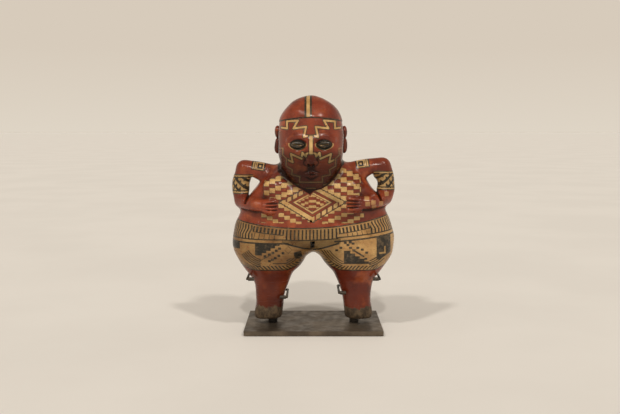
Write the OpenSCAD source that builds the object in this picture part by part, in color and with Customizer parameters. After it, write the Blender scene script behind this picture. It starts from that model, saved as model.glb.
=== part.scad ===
// Hollow earthenware figure of a standing person, hands on the belly, held on a steel display mount.
// Millimetres, +Z up. The origin is on the ground under the middle of the base plate.
// The figure faces -Y. "Left" and "right" are the figure's own, so its left side is +X.

/* [Figure] */
// Height of the figure from its soles to the top of its head
figure_h = 310; // [230:1:400]
// Width across the hips, the widest part of the figure
hip_w = 228; // [170:1:300]
// Depth of the hips from front to back
hip_d = 97; // [75:1:110]
// Thickness of the clay wall round the hollow body, hips and head
wall = 7; // [4:0.5:9]
// Sideways offset of the head, where the potter set it a little off centre
head_offset = -3.5; // [-8:0.5:8]
// Thickness of the upper arms
arm_d = 24.5; // [18:0.5:27]
// Height by which the left shoulder and hand stand above the right
left_raise = 4; // [0:0.5:8]
// Diameter of the firing vent at the navel
vent_d = 4.5; // [2:0.5:8]
// Width of the slot between the thighs
slot_w = 4; // [2:0.5:7]

/* [Base] */
// Width of the base plate
plate_w = 188; // [170:1:260]
// Depth of the base plate
plate_d = 120; // [100:1:180]
// Thickness of the base plate
plate_t = 6; // [5:0.5:12]
// Thickness of the rubber liner under the plate
liner_t = 1; // [0.5:0.5:3]
// Distance from the plate's edge to the liner's edge
liner_inset = 2; // [1:0.5:8]
// Height of the soles above the plate
sole_gap = 7; // [6:0.5:15]
// Diameter of the posts under the feet
post_d = 12.5; // [10:0.5:18]
// Thickness of the pads on the posts
pad_t = 1.5; // [1:0.5:3]

/* [Uprights and clips] */
// Diameter of the two uprights behind the shins
upright_d = 6; // [5:0.5:8]
// Diameter of the bent wire of each clip
wire_d = 3.2; // [2.5:0.1:4]
// Outer diameter of the sleeve on each clip's tip
sleeve_d = 5; // [4.6:0.1:6]
// Wall of the collars that turn on the uprights
collar_wall = 2.5; // [2:0.25:4]
// Height of the collars
collar_h = 7; // [6:0.5:10]
// Height of the two outer clips above the soles
outer_clip_h = 57; // [50:1:60]
// Height of the inner clip of the right leg above the soles
right_inner_clip_h = 31; // [20:1:40]
// Height of the inner clip of the left leg above the soles
left_inner_clip_h = 37; // [20:1:40]
// Distance that each clip's tip reaches over the front edge of its leg
clip_reach = 4.5; // [2:0.5:5]
// Clear space between a leg's side and the wire beside it
clip_standoff = 2; // [1:0.5:5]

/* [Hidden] */

$fn = 48;
right = -1;
left = 1;
outward = 1;
inward = -1;
big = 2 * (figure_h + hip_w);

// Fits
running_fit = 0.05;   // radial clearance of a collar on its upright
screw_fit = 0.05;     // radial clearance of a screw or wire in its own hole

// The station tables are written for a figure of this size and follow the sizes above
drawn_h = 310;
drawn_hip_w = 228;
drawn_hip_d = 97;
sx = hip_w / drawn_hip_w;
sy = hip_d / drawn_hip_d;
sz = figure_h / drawn_h;

plate_top = liner_t + plate_t;
sole_z = plate_top + sole_gap;
section_points = 36;
slice_t = 0.02;
web = wall - 1.2;     // half of the wall between the two hips, where their pieces were joined
leg_round = 2.4;      // exponent of the legs' rounded sections, 2 being an ellipse
body_round = 2.25;
head_round = 2.15;

// Heights above the soles of the two planes where the clay pieces were joined
waist_h = 136;
neck_h = 221;

// Left leg and hip: height, inner edge, outer edge, front, back.
// Above the crotch the inner edge passes the middle plane, where the two legs meet.
leg_stations = [
    [0, 44.5, 83, -23, 16],
    [3, 43.5, 83, -25, 17],
    [11, 43, 82.5, -24.5, 17],
    [24, 42, 81, -21.5, 16.5],
    [36, 39.5, 80.5, -20, 17],
    [45, 36.5, 82, -21, 18],
    [53, 33, 85.5, -23, 20],
    [65, 27, 93.5, -29, 26],
    [73, 19, 99.5, -34, 32],
    [80, 13, 105, -38, 38],
    [88, 8.5, 109.5, -41.5, 43],
    [94, 0, 111.5, -43, 46],
    [105, -30, 113.5, -44.5, 50],
    [117, -70, 114, -45, 52],
    [129, -98, 111, -44.5, 50],
    [136, -108.5, 108.5, -44, 47],
    [143, -105, 105, -44, 42]
];

// Body: height, half width, front, back
torso_stations = [
    [129, 111, -44.5, 50],
    [136, 108.5, -44, 47],
    [143, 105, -44, 42],
    [150, 101.5, -44.5, 38],
    [157, 98.5, -45.5, 35],
    [165, 94.5, -46.5, 34],
    [174, 89, -46, 33],
    [183, 83, -43.5, 32.5],
    [191, 77, -39.5, 32],
    [199, 71, -35, 31],
    [206, 65, -31, 29.5],
    [213, 56, -27, 26],
    [218, 46, -24, 23.5],
    [221, 39, -22, 21.5]
];

// Head below the dome: height, half width, front, back
jaw_stations = [
    [182, 9.5, -45, -31],
    [186, 18, -49.5, -24],
    [192, 26, -52, -14],
    [200, 33.5, -53, 0],
    [213, 40.5, -53, 15],
    [228, 44.5, -52.5, 26],
    [243, 45.5, -51, 31],
    [256, 45.5, -49.5, 33],
    [266, 45, -48, 33]
];
dome_steps = 8;
dome_round = 1.85;    // exponent of the dome's upright outline, a little more pointed than an ellipse
dome_base = jaw_stations[len(jaw_stations) - 1];
dome_stations = [
    for (i = [1:dome_steps])
        let (a = 86 * i / dome_steps, rise = sin(a) / sin(86), mid = (dome_base[2] + dome_base[3]) / 2)
        let (share = i == dome_steps ? cos(a) : pow(1 - pow(rise, dome_round), 1 / dome_round))
        let (deep = (dome_base[3] - dome_base[2]) / 2 * share)
        [dome_base[0] + (drawn_h - dome_base[0]) * rise, dome_base[1] * share, mid - deep, mid + deep]
];
head_stations = concat(jaw_stations, dome_stations);

// Left arm: across, along, height, radius as a share of the arm's
arm_stations = [
    [52, 1, 200.5, 1.12],
    [78, 0, 204.5, 1.2],
    [96, -1, 208, 1.1],
    [100.5, -2, 194, 1.02],
    [102, -4, 177, 0.97],
    [99.5, -8, 165, 0.94],
    [90, -24, 161.5, 0.78],
    [78, -37, 160.5, 0.66]
];
right_hand = [60, -41.5, 159];
left_hand = [56, -41.5, 162.5];
finger_count = 4;
finger_pitch = 4.7;
finger_l = 15;
finger_r = 2.7;

// Face on the usual thirds: cap edge to brow, brow to nose base, nose base to chin
cap_edge_h = 278;
chin_h = jaw_stations[0][0];
face_third = (cap_edge_h - chin_h) / 3;
eye_h = chin_h + 2 * face_third - 3;
nose_base_h = chin_h + face_third;
lips_h = nose_base_h - face_third / 3;
eye_x = 2 * dome_base[1] / 5;
vent_h = 139.5;
throat_low = 195;
throat_high = 235;
throat_r = 13;
slot_bottom_h = 103;
slot_top_h = 112;
slot_deep = 9;

// Places of the mount's pieces, from the leg they hold
post_x = 57 * sx;
post_y = -5 * sy;
upright_x = 63 * sx;
collar_r = upright_d / 2 + running_fit + collar_wall;
calf_back = leg_edge(outer_clip_h + collar_h / 2 / sz, 4) * sy;
upright_y = calf_back + collar_r + 1;
upright_top = sole_z + outer_clip_h * sz + collar_h / 2 + 1;
sleeve_lip = 1.5;     // length of each sleeve past the end of its wire
clay_gap = 0.8;       // least distance from a sleeve to the clay, at rest and as the figure is lifted past
boss_r = wire_d / 2 + 1.6;
boss_l = 4.5;
socket_l = 4;
clip_screw_r = 1.25;
plate_screw_r = 2;
rod_screw_r = 1.25;
plate_screw_grip = min(4, sole_gap - pad_t - 1);
rod_screw_grip = 8;
hole_over = 1;        // how far a screw's hole runs past the face it starts from

function place(s) = [s[0] * sx, s[1] * sy, sole_z + s[2] * sz];
// Front face of a leg at a distance x from the middle of the figure, far behind where the leg doesn't reach
function leg_front(h, x) =
    let (inner = leg_edge(h, 1), outer = leg_edge(h, 2), front = leg_edge(h, 3), back = leg_edge(h, 4))
    let (u = abs(2 * x - inner - outer) / (outer - inner))
    u >= 1 ? hip_d : (front + back) / 2 - (back - front) / 2 * pow(1 - pow(u, leg_round), 1 / leg_round);

function leg_edge(h, column) = lookup(h, [for (s = leg_stations) [s[0], s[column]]]);
function head_edge(h, column) = lookup(h, [for (s = head_stations) [s[0], s[column]]]);
function power(v, e) = sign(v) * pow(abs(v), e);

// Front face of the head at a distance x from its middle
function head_front(h, x) =
    let (front = head_edge(h, 2), back = head_edge(h, 3), half = head_edge(h, 1))
    (front + back) / 2 - (back - front) / 2 * pow(1 - pow(abs(x) / half, head_round), 1 / head_round);

// One rounded section between four edges
module section(x0, x1, y0, y1, e) {
    points = [
        for (i = [0:section_points - 1])
            let (a = 360 * i / section_points)
            [(x0 + x1) / 2 + (x1 - x0) / 2 * power(cos(a), 2 / e), (y0 + y1) / 2 + (y1 - y0) / 2 * power(sin(a), 2 / e)]
    ];
    linear_extrude(height = slice_t) polygon(points);
}

// A solid skinned over stations of height, edges left and right, and front and back, all moved in by "inset"
module skin(stations, e, inset = 0) {
    for (i = [0:len(stations) - 2]) {
        hull() {
            for (s = [stations[i], stations[i + 1]]) {
                translate([0, 0, sole_z + s[0] * sz - slice_t / 2])
                    section(s[1] * sx + inset, s[2] * sx - inset, s[3] * sy + inset, s[4] * sy - inset, e);
            }
        }
    }
}

function symmetric(stations) = [for (s = stations) [s[0], -s[1], s[1], s[2], s[3]]];
function between(stations, low, high) = [for (s = stations) if (s[0] >= low && s[0] <= high) s];

module slab(z0, z1) {
    translate([-big / 2, -big / 2, z0]) cube([big, big, z1 - z0]);
}

module torso_outer() {
    skin(symmetric(torso_stations), body_round);
}

module torso_solid() {
    intersection() {
        union() {
            torso_outer();
            breasts();
        }
        slab(sole_z + waist_h * sz, sole_z + neck_h * sz);
    }
}

module breasts() {
    for (side = [right, left]) {
        hull() {
            translate(place([side * 52, -25, 183])) sphere(r = 17 * sx, $fn = 24);
            translate(place([side * 46, -20, 199])) sphere(r = 10 * sx, $fn = 24);
        }
    }
}

module head_solid() {
    translate([head_offset, 0, 0]) skin(symmetric(head_stations), head_round);
}

// Passage between the hollows of the body and the head
module throat() {
    translate([0, -2 * sy, sole_z + throat_low * sz])
        cylinder(r = throat_r * min(sx, sy), h = (throat_high - throat_low) * sz);
}

// Legs, each with its half of the hips, cut flat where they meet
module leg(side) {
    mirror([side == right ? 1 : 0, 0, 0])
    difference() {
        intersection() {
            skin(leg_stations, leg_round);
            translate([0, -big / 2, sole_z]) cube([big, big, waist_h * sz]);
        }
        intersection() {
            skin(between(leg_stations, 65, 143), leg_round, wall);
            translate([web, -big / 2, sole_z]) cube([big, big, big]);
        }
        slot();
    }
}

module slot() {
    translate([-slot_w / 2, -hip_d / 2, sole_z + slot_bottom_h * sz])
        cube([slot_w, hip_d / 2 - 30 * sy + slot_deep, (slot_top_h - slot_bottom_h) * sz]);
}

module torso() {
    color("firebrick")
    difference() {
        torso_solid();
        skin(symmetric(between(torso_stations, 129, 206)), body_round, wall);
        throat();
        translate([head_offset, 0, sole_z + vent_h * sz])
            rotate([90, 0, 0]) cylinder(d = vent_d, h = hip_d);
    }
}

module head() {
    color("brown")
    difference() {
        head_solid();
        torso_solid();
        translate([head_offset, 0, 0]) skin(symmetric(between(head_stations, 228, 306)), head_round, wall);
        throat();
    }
}

// Arm akimbo, with the hand flat on the belly
module arm(side, hand, raise) {
    r = arm_d / 2;
    stations = [for (s = arm_stations) [side * s[0], s[1], s[2] + raise, s[3]]];
    palm = [side * hand[0], hand[1], hand[2]];
    color("firebrick")
    difference() {
        union() {
            for (i = [0:len(stations) - 2]) {
                hull() {
                    for (s = [stations[i], stations[i + 1]]) translate(place(s)) sphere(r = r * s[3], $fn = 24);
                }
            }
            hull() {
                translate(place(stations[len(stations) - 1])) sphere(r = r * 0.66, $fn = 24);
                translate(place(palm + [side * 7, 1, 0])) scale([1, 0.6, 1]) sphere(r = 8.5, $fn = 24);
            }
            for (i = [0:finger_count - 1]) finger(palm, side, (i - (finger_count - 1) / 2) * finger_pitch);
        }
        torso_solid();
        hips();
    }
}

module finger(palm, side, rise) {
    hull() {
        translate(place(palm + [side * 6, -1.5, rise])) sphere(r = finger_r, $fn = 16);
        translate(place(palm + [side * (6 - finger_l), -0.5, rise * 1.1])) sphere(r = finger_r * 0.85, $fn = 16);
    }
}

module hips() {
    intersection() {
        skin(symmetric([for (s = between(leg_stations, 105, 143)) [s[0], s[2], s[3], s[4]]]), body_round);
        slab(sole_z, sole_z + waist_h * sz);
    }
}

// A lump of clay pressed onto the head
module on_head() {
    difference() {
        translate([head_offset, 0, 0]) children();
        head_solid();
    }
}

module ear(side) {
    color("brown")
    on_head() {
        hull() {
            translate(place([side * 44, 2, 262])) scale([0.7, 0.85, 1]) sphere(r = 9, $fn = 24);
            translate(place([side * 43, 1, 252])) scale([0.6, 0.8, 1]) sphere(r = 7, $fn = 24);
        }
        hull() {
            translate(place([side * 43, 1, 247])) scale([0.6, 0.8, 1]) sphere(r = 7, $fn = 24);
            translate(place([side * 44, 1, 239])) scale([0.8, 0.9, 1]) sphere(r = 8.5, $fn = 24);
        }
    }
}

module nose() {
    bridge = head_front(eye_h + 4, 0);
    base = head_front(nose_base_h + 5, 0);
    color("brown")
    on_head() {
        hull() {
            translate(place([0, bridge + 3.5, eye_h + 6])) sphere(r = 4.5, $fn = 20);
            translate(place([0, base, nose_base_h + 6.5])) sphere(r = 6, $fn = 20);
            for (side = [right, left])
                translate(place([side * 5.5, base + 1.5, nose_base_h + 4])) sphere(r = 4, $fn = 20);
        }
    }
}

module lips() {
    color("brown")
    on_head() {
        for (side = [right, left]) {
            hull() {
                translate(place([0, head_front(lips_h, 0) + 1, lips_h])) scale([1, 0.8, 1]) sphere(r = 3.6, $fn = 20);
                translate(place([side * 11, head_front(lips_h, 11) + 1, lips_h + 0.8])) sphere(r = 2, $fn = 20);
            }
        }
    }
}

module eye(side) {
    color("darkolivegreen")
    on_head() {
        hull() {
            for (end = [-1, 1]) {
                x = side * eye_x + end * 5.5;
                translate(place([x, head_front(eye_h, x) + 1, eye_h])) sphere(r = 2.6, $fn = 20);
            }
            translate(place([side * eye_x, head_front(eye_h, eye_x) + 2, eye_h])) sphere(r = 5, $fn = 20);
        }
    }
}

module base_plate() {
    color("dimgray")
    difference() {
        translate([-plate_w / 2, -plate_d / 2, liner_t]) cube([plate_w, plate_d, plate_t]);
        for (side = [right, left]) {
            translate([side * post_x, post_y, liner_t]) screw_hole(plate_screw_r);
            translate([side * upright_x, upright_y, liner_t]) screw_hole(rod_screw_r);
        }
    }
}

module screw_hole(r) {
    translate([0, 0, -1]) cylinder(r = r + screw_fit, h = plate_t + 2);
    translate([0, 0, -1]) cylinder(r = 2 * r + screw_fit, h = 1 + r + screw_fit);
}

module base_liner() {
    color("black")
    translate([-plate_w / 2 + liner_inset, -plate_d / 2 + liner_inset, 0])
        cube([plate_w - 2 * liner_inset, plate_d - 2 * liner_inset, liner_t]);
}

// Flat-headed screws up through the plate into the posts and the uprights
module plate_screws() {
    color("silver")
    for (side = [right, left]) {
        translate([side * post_x, post_y, liner_t]) plate_screw(plate_screw_r, plate_screw_grip);
        translate([side * upright_x, upright_y, liner_t]) plate_screw(rod_screw_r, rod_screw_grip);
    }
}

module plate_screw(r, grip) {
    cylinder(r = r, h = plate_t + grip);
    cylinder(r = 2 * r, h = r);
}

module foot_post(side) {
    color("dimgray")
    translate([side * post_x, post_y, plate_top])
    difference() {
        cylinder(d = post_d, h = sole_gap - pad_t);
        translate([0, 0, -hole_over]) cylinder(r = plate_screw_r + screw_fit, h = plate_screw_grip + 1.5 * hole_over);
    }
}

module foot_pad(side) {
    color("black")
    translate([side * post_x, post_y, sole_z - pad_t]) cylinder(d = post_d + 1, h = pad_t);
}

module upright(side) {
    color("dimgray")
    translate([side * upright_x, upright_y, plate_top])
    difference() {
        cylinder(d = upright_d, h = upright_top - plate_top);
        translate([0, 0, -hole_over]) cylinder(r = rod_screw_r + screw_fit, h = rod_screw_grip + 1.5 * hole_over);
    }
}

// Clips. "reach" is the way that the clip leaves its upright: away from the middle or towards it.
function clip_rise(side, reach) =
    reach == outward ? outer_clip_h : side == right ? right_inner_clip_h : left_inner_clip_h;
function clip_z(side, reach) = sole_z + clip_rise(side, reach) * sz;
function clip_edge(side, reach) = leg_edge(clip_rise(side, reach), reach == outward ? 2 : 1) * sx;
function clip_wire_x(side, reach) = clip_edge(side, reach) + reach * (clip_standoff + wire_d / 2);
function clip_tip_x(side, reach) = clip_edge(side, reach) - reach * clip_reach;

// Line of a clip's tip, in front of all of the leg that passes it when the figure is lifted out
function clip_y(side, reach) =
    let (x = (clip_tip_x(side, reach) - reach * sleeve_lip) / sx)
    let (top = clip_rise(side, reach) + (sleeve_d / 2 + clay_gap) / sz)
    min([for (i = [0:40]) leg_front(top * i / 40, x)]) * sy - sleeve_d / 2 - clay_gap;

module clip_collar(side, reach) {
    color("dimgray")
    translate([side * upright_x, upright_y, clip_z(side, reach)])
    difference() {
        union() {
            translate([0, 0, -collar_h / 2]) cylinder(r = collar_r, h = collar_h);
            rotate([0, 90 * side * reach, 0]) cylinder(r = boss_r, h = collar_r + boss_l);
        }
        translate([0, 0, -collar_h]) cylinder(r = upright_d / 2 + running_fit, h = 2 * collar_h);
        rotate([0, 90 * side * reach, 0]) translate([0, 0, collar_r + boss_l - socket_l])
            cylinder(r = wire_d / 2 + screw_fit, h = socket_l + 1);
        rotate([-90, 0, 0]) cylinder(r = clip_screw_r + screw_fit, h = 2 * collar_r);
    }
}

// Bent wire from the collar's boss, along the leg's side and across its front edge
module clip_wire(side, reach) {
    start_x = upright_x + reach * (collar_r + boss_l - socket_l);
    path = [
        [start_x, upright_y], [clip_wire_x(side, reach), upright_y],
        [clip_wire_x(side, reach), clip_y(side, reach)], [clip_tip_x(side, reach), clip_y(side, reach)]
    ];
    color("darkgoldenrod")
    translate([0, 0, clip_z(side, reach)])
    for (i = [0:len(path) - 2]) {
        a = [side * path[i][0], path[i][1]];
        b = [side * path[i + 1][0], path[i + 1][1]];
        translate([a[0], a[1], 0]) rotate([0, 90, atan2(b[1] - a[1], b[0] - a[0])])
            cylinder(d = wire_d, h = norm(b - a));
        if (i > 0) translate([a[0], a[1], 0]) sphere(d = wire_d);
    }
}

// Soft sleeve over the last of the wire, so that only the sleeve meets the clay
module clip_sleeve(side, reach) {
    sleeve_l = abs(clip_wire_x(side, reach) - clip_tip_x(side, reach)) - wire_d / 2;
    color("tan")
    translate([side * clip_tip_x(side, reach), clip_y(side, reach), clip_z(side, reach)])
    rotate([0, 90 * side * reach, 0])
    difference() {
        translate([0, 0, -sleeve_lip]) cylinder(d = sleeve_d, h = sleeve_l + sleeve_lip);
        translate([0, 0, -sleeve_lip / 3]) cylinder(r = wire_d / 2 + screw_fit, h = sleeve_l + sleeve_lip);
    }
}

module clip_screw(side, reach) {
    color("silver")
    translate([side * upright_x, upright_y, clip_z(side, reach)]) rotate([-90, 0, 0]) {
        translate([0, 0, upright_d / 2 + 0.4]) cylinder(r = clip_screw_r, h = collar_wall + 1.6);
        translate([0, 0, collar_r + 0.2]) cylinder(r = 2 * clip_screw_r, h = 1.8);
    }
}

module leg_right() { color("peru") leg(right); }
module leg_left() { color("peru") leg(left); }

base_plate();
base_liner();
plate_screws();
foot_post(right);  // foot_post_right
foot_post(left);  // foot_post_left
foot_pad(right);  // foot_pad_right
foot_pad(left);  // foot_pad_left
upright(right);  // upright_right
upright(left);  // upright_left
leg_right();
leg_left();
torso();
arm(right, right_hand, 0);  // arm_right
arm(left, left_hand, left_raise);  // arm_left
head();
ear(right);  // ear_right
ear(left);  // ear_left
nose();
lips();
eye(right);  // eye_right
eye(left);  // eye_left
clip_collar(right, outward);  // outer_clip_right_collar
clip_wire(right, outward);  // outer_clip_right_wire
clip_sleeve(right, outward);  // outer_clip_right_sleeve
clip_screw(right, outward);  // outer_clip_right_screw
clip_collar(left, outward);  // outer_clip_left_collar
clip_wire(left, outward);  // outer_clip_left_wire
clip_sleeve(left, outward);  // outer_clip_left_sleeve
clip_screw(left, outward);  // outer_clip_left_screw
clip_collar(right, inward);  // inner_clip_right_collar
clip_wire(right, inward);  // inner_clip_right_wire
clip_sleeve(right, inward);  // inner_clip_right_sleeve
clip_screw(right, inward);  // inner_clip_right_screw
clip_collar(left, inward);  // inner_clip_left_collar
clip_wire(left, inward);  // inner_clip_left_wire
clip_sleeve(left, inward);  // inner_clip_left_sleeve
clip_screw(left, inward);  // inner_clip_left_screw
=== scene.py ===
import math

import bpy
import numpy as np
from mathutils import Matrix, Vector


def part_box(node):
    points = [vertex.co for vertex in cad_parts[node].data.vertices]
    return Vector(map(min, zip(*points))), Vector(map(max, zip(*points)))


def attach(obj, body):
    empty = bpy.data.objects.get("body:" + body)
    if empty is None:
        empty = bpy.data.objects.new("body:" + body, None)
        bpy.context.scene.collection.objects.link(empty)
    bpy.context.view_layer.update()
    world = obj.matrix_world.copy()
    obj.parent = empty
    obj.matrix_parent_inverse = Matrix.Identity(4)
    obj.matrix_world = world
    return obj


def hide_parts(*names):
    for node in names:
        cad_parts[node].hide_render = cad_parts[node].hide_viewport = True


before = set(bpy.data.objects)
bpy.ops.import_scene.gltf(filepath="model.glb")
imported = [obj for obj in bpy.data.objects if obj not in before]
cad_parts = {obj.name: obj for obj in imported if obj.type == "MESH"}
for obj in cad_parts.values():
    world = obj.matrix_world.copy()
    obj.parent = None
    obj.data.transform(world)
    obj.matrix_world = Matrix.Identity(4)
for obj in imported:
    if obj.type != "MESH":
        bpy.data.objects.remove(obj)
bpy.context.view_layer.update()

import openvdb
from mathutils import Vector

MM = 0.001

# -------------------- the clay body, as a field of distances
# The clay is worked as a signed distance on a regular grid, in millimetres, negative inside.

COARSE = 1.5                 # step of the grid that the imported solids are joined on
FINE = COARSE / 2            # step of the grid that the surface is taken from
LUTING = 3.0                 # radius of the smoothed joins between the potter's pieces
SOFTNESS = 1.9               # how far the hand-smoothing reaches
MARGIN = 9.0                 # free space round the figure
NECK_BLEND = 3.0             # width of the join between head and body
ARM_BLEND = 2.5              # width of the joins between arms and body, small so that the gaps stay open
OUTSIDE_FRONT = -8.0         # the front taken for a line that misses the clay

CLAY = ["leg_right", "leg_left", "torso", "arm_right", "arm_left", "head"]
APPLIED = ["ear_right", "ear_left", "nose", "lips", "eye_right", "eye_left"]


def box_mm(node):
    low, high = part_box(node)
    return np.array(low) / MM, np.array(high) / MM


def node_mesh(node):
    """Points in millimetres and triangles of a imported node."""
    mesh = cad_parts[node].data
    points = np.empty(len(mesh.vertices) * 3, np.float32)
    mesh.vertices.foreach_get("co", points)
    mesh.calc_loop_triangles()
    triangles = np.empty(len(mesh.loop_triangles) * 3, np.int32)
    mesh.loop_triangles.foreach_get("vertices", triangles)
    points = points.reshape(-1, 3)
    # Vertices are split at sharp edges, so those at one place are joined again
    unique, index = np.unique(np.round(points, 7), axis=0, return_inverse=True)
    triangles = index.reshape(-1)[triangles].reshape(-1, 3)
    keep = (
        (triangles[:, 0] != triangles[:, 1])
        & (triangles[:, 1] != triangles[:, 2])
        & (triangles[:, 0] != triangles[:, 2])
    )
    return (unique / MM).astype(np.float32), triangles[keep].astype(np.uint32)


boxes = {n: box_mm(n) for n in CLAY + APPLIED}
LOW = np.min([b[0] for b in boxes.values()], axis=0) - MARGIN
HIGH = np.max([b[1] for b in boxes.values()], axis=0) + MARGIN
COARSE_SHAPE = tuple(int(n) for n in np.ceil((HIGH - LOW) / COARSE))
FINE_SHAPE = tuple(2 * n - 1 for n in COARSE_SHAPE)


def level_set(points, triangles=None, quads=None, band=6.0):
    """Distance to a closed mesh on the coarse grid, exact to "band" steps either side."""
    local = ((points - LOW) / COARSE).astype(np.float32)
    grid = openvdb.FloatGrid.createLevelSetFromPolygons(
        local, triangles=triangles, quads=quads,
        transform=openvdb.createLinearTransform(voxelSize=1.0), halfWidth=band)
    values = np.full(COARSE_SHAPE, band, np.float32)
    grid.copyToArray(values)
    return values * COARSE


def surface(values, step, level=0.0):
    """Points in millimetres and quads of the surface where a field has the given value."""
    grid = openvdb.FloatGrid(float(values.max()))
    grid.copyFromArray(np.ascontiguousarray(values, np.float32))
    points, quads = grid.convertToQuads(level)
    return points * step + LOW, quads.astype(np.int64)


def outer_part(points, quads):
    """The faces joined to the outermost point, without those of the hollows inside."""
    label = np.arange(len(points))
    edges = np.concatenate([quads[:, [0, 1]], quads[:, [1, 2]], quads[:, [2, 3]], quads[:, [3, 0]]])
    while True:
        low = np.minimum(label[edges[:, 0]], label[edges[:, 1]])
        new = label.copy()
        np.minimum.at(new, edges[:, 0], low)
        np.minimum.at(new, edges[:, 1], low)
        new = new[new]
        if np.array_equal(new, label):
            break
        label = new
    outside = label[np.argmax(points[:, 0])]
    return quads[label[quads[:, 0]] == outside]


def blurred(values, sigma):
    """Gaussian blur, sigma in grid steps."""
    reach = int(3 * sigma + 1)
    weights = np.exp(-0.5 * (np.arange(-reach, reach + 1) / sigma) ** 2)
    weights = (weights / weights.sum()).astype(np.float32)
    for axis in range(3):
        pad = [(reach, reach) if a == axis else (0, 0) for a in range(3)]
        padded = np.pad(values, pad, mode="edge")
        total = np.zeros_like(values)
        for k, w in enumerate(weights):
            cut = [slice(None)] * 3
            cut[axis] = slice(k, k + values.shape[axis])
            total += w * padded[tuple(cut)]
        values = total
    return values


def doubled(values):
    """The same field on a grid of half the step."""
    for axis in range(3):
        moved = np.moveaxis(values, axis, 0)
        fine = np.empty((2 * moved.shape[0] - 1,) + moved.shape[1:], np.float32)
        fine[::2] = moved
        fine[1::2] = (moved[1:] + moved[:-1]) / 2
        values = np.moveaxis(fine, 0, axis)
    return np.ascontiguousarray(values)


def smooth_min(a, b, k):
    h = np.maximum(k - np.abs(a - b), 0) / k
    return np.minimum(a, b) - h * h * k / 4


node_distance = {}
for name in CLAY + APPLIED:
    points, triangles = node_mesh(name)
    node_distance[name] = level_set(points, triangles=triangles)
joined = np.minimum.reduce([node_distance[name] for name in ("leg_right", "leg_left", "torso")])
joined = smooth_min(joined, node_distance["head"], NECK_BLEND)
for name in ("arm_right", "arm_left"):
    joined = smooth_min(joined, node_distance[name], ARM_BLEND)

# Closing by the luting radius fills the hollows and the vent, and rounds the inner corners
points, quads = surface(joined, COARSE, level=LUTING)
quads = outer_part(points, quads)
body = level_set(points, quads=quads.astype(np.uint32), band=7.0) + LUTING
body = blurred(body, SOFTNESS / COARSE)
clay = blurred(doubled(body), 1.0)


# -------------------- modelled detail, worked into the field

class Block:
    """A box of the fine grid, with the coordinates of its points."""

    def __init__(self, low, high):
        first = np.maximum(np.floor((np.array(low) - LOW) / FINE).astype(int), 0)
        last = np.minimum(np.ceil((np.array(high) - LOW) / FINE).astype(int) + 1, FINE_SHAPE)
        self.cut = tuple(slice(a, b) for a, b in zip(first, last))
        axes = [LOW[k] + FINE * np.arange(first[k], last[k]) for k in range(3)]
        self.x = axes[0][:, None, None]
        self.y = axes[1][None, :, None]
        self.z = axes[2][None, None, :]

    def add(self, distance, blend=1.5):
        clay[self.cut] = smooth_min(clay[self.cut], distance, blend)

    def carve(self, distance, blend=0.6):
        clay[self.cut] = -smooth_min(-clay[self.cut], distance, blend)

    def shift(self, amount):
        clay[self.cut] += amount


def smoothstep(a, b, v):
    t = np.clip((v - a) / (b - a), 0, 1)
    return t * t * (3 - 2 * t)


def ellipsoid(block, centre, radii):
    p = [(c - o) for c, o in zip((block.x, block.y, block.z), centre)]
    k0 = np.sqrt(sum((v / r) ** 2 for v, r in zip(p, radii)))
    k1 = np.sqrt(sum((v / r ** 2) ** 2 for v, r in zip(p, radii)))
    return k0 * (k0 - 1) / np.maximum(k1, 1e-6)


def capsule(block, a, b, ra, rb=None):
    """Distance to a rod from a to b whose radius goes from ra to rb."""
    rb = ra if rb is None else rb
    a, b = np.array(a, float), np.array(b, float)
    d = b - a
    px, py, pz = block.x - a[0], block.y - a[1], block.z - a[2]
    t = np.clip((px * d[0] + py * d[1] + pz * d[2]) / (d @ d), 0, 1)
    return np.sqrt((px - t * d[0]) ** 2 + (py - t * d[1]) ** 2 + (pz - t * d[2]) ** 2) - (ra + (rb - ra) * t)


def around(*points, margin):
    p = np.array(points, float)
    return Block(p.min(0) - margin, p.max(0) + margin)


def front_of(x, z):
    """The Y at which a line along +Y first meets the clay."""
    i = int(round((x - LOW[0]) / FINE))
    k = int(round((z - LOW[2]) / FINE))
    line = clay[i, :, k]
    if line.min() >= 0:
        return OUTSIDE_FRONT
    j = int(np.argmax(line < 0))
    return LOW[1] + FINE * (j - line[j] / (line[j] - line[j - 1]))


head_low, head_high = boxes["head"]
head_x = (head_low[0] + head_high[0]) / 2
head_half = (head_high[0] - head_low[0]) / 2
sole_z = boxes["leg_left"][0][2]
waist_z = boxes["torso"][0][2]


def middle(node):
    """The centre of a node's box and its half sides."""
    low, high = boxes[node]
    return (low + high) / 2, (high - low) / 2


def make_cap():
    """The plain cap stands a little proud of the face, along an edge that sinks to the sides and back."""
    low = [head_low[0] - 3, head_low[1] - 3, head_high[2] - 50]
    block = Block(low, head_high + 3)
    edge = cap_edge(block.x, block.y)
    block.shift(-CAP_PROUD * smoothstep(-0.5, 0.5, block.z - edge))


CAP_PROUD = 0.9
CAP_TOP = head_high[2] - 30.0     # height of the cap's edge over the forehead


def cap_edge(x, y):
    sink = 5.0 * np.minimum(np.abs(x - head_x) / head_half, 1) ** 2
    return CAP_TOP - sink - 9.0 * smoothstep(-15, 30, y)


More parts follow.
